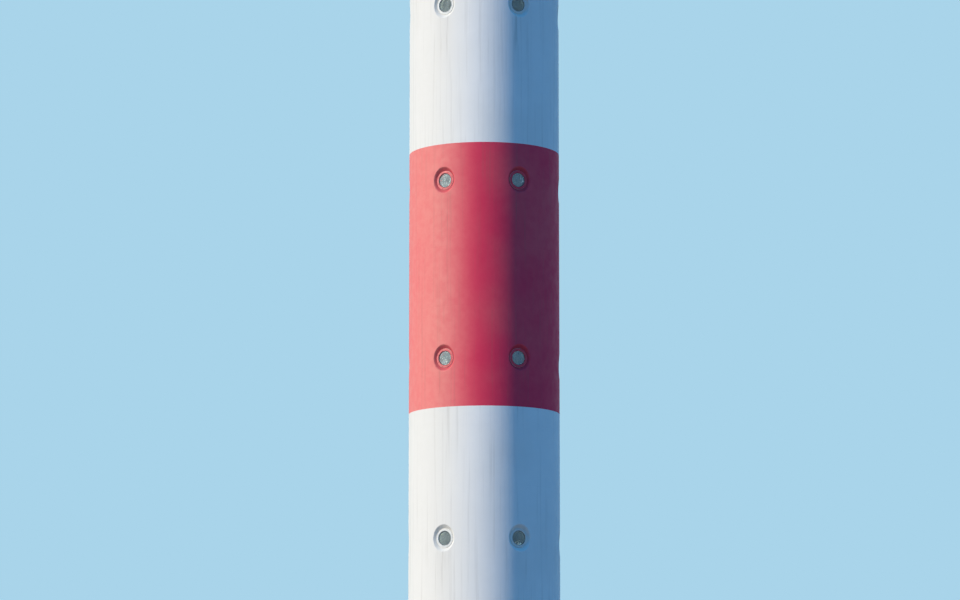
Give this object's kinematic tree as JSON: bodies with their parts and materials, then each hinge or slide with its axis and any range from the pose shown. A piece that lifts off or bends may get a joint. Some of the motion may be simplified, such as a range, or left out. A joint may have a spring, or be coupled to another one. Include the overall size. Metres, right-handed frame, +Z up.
{
  "type": "lighthouse",
  "caption": "Slim round concrete lighthouse in red and white bands with columns of recessed round portholes, a railed gallery and a domed glass lantern.",
  "frame": {"origin": "centre of the underside of the base slab, at ground level", "axes": "+Z up along the tower's axis, -Y towards the entrance, +X to the right of someone who faces the entrance"},
  "size_m": [5.24, 5.24, 32.6286],
  "materials": {
    "red_wall": "red masonry paint on smooth concrete, a little faded",
    "white_wall": "white masonry paint on smooth concrete, faintly streaked",
    "concrete": "bare grey concrete",
    "red_room_wall": "red masonry paint on smooth concrete",
    "porthole_frame": "painted cast frame in the colour of its band",
    "porthole_glass": "thick clear glass, dark room behind it",
    "door_paint": "white gloss paint on pressed steel",
    "door_steel": "satin stainless steel",
    "railing_paint": "red gloss paint on steel tube",
    "lantern_red": "red gloss paint on steel plate",
    "lantern_bar_paint": "white gloss paint on steel bars",
    "lantern_glass": "clear plate glass",
    "rod_steel": "weathered stainless steel",
    "optic_stand": "dark green enamel on cast iron",
    "optic_glass": "clear moulded lens glass with a slight green tint",
    "optic_brass": "polished brass"
  },
  "bodies": {
    "root": {"entrance_panel": "red_wall", "lower_red_window_panels": "red_wall", "lower_red_plain_panels": "red_wall", "upper_red_window_panels": "red_wall", "upper_red_plain_panels": "red_wall", "lower_white_window_panels": "white_wall", "lower_white_plain_panels": "white_wall", "upper_white_window_panels": "white_wall", "upper_white_plain_panels": "white_wall", "gallery_corbel": "white_wall", "base_slab": "concrete", "plinth_ring": "concrete", "entrance_step": "concrete", "first_floor": "concrete", "second_floor": "concrete", "third_floor": "concrete", "fourth_floor": "concrete", "fifth_floor": "concrete", "gallery_deck": "concrete", "lantern_floor": "concrete", "service_room_wall": "red_room_wall", "porthole_frames": "porthole_frame", "porthole_glass": "porthole_glass", "entrance_door_frame": "door_paint", "entrance_door_leaf": "door_paint", "gallery_door_frame": "door_paint", "gallery_door_leaf": "door_paint", "door_hinges": "door_steel", "door_handles": "door_steel", "railing_posts": "railing_paint", "handrail": "railing_paint", "mid_rails": "railing_paint", "toe_plate": "railing_paint", "lantern_sill": "lantern_red", "lantern_head": "lantern_red", "eaves_gutter": "lantern_red", "cupola": "lantern_red", "ventilator": "lantern_red", "lantern_bars": "lantern_bar_paint", "lantern_glass": "lantern_glass", "lightning_rod": "rod_steel", "optic_pedestal": "optic_stand", "optic_lens": "optic_glass", "optic_rings": "optic_brass"}
  },
  "joints": []
}
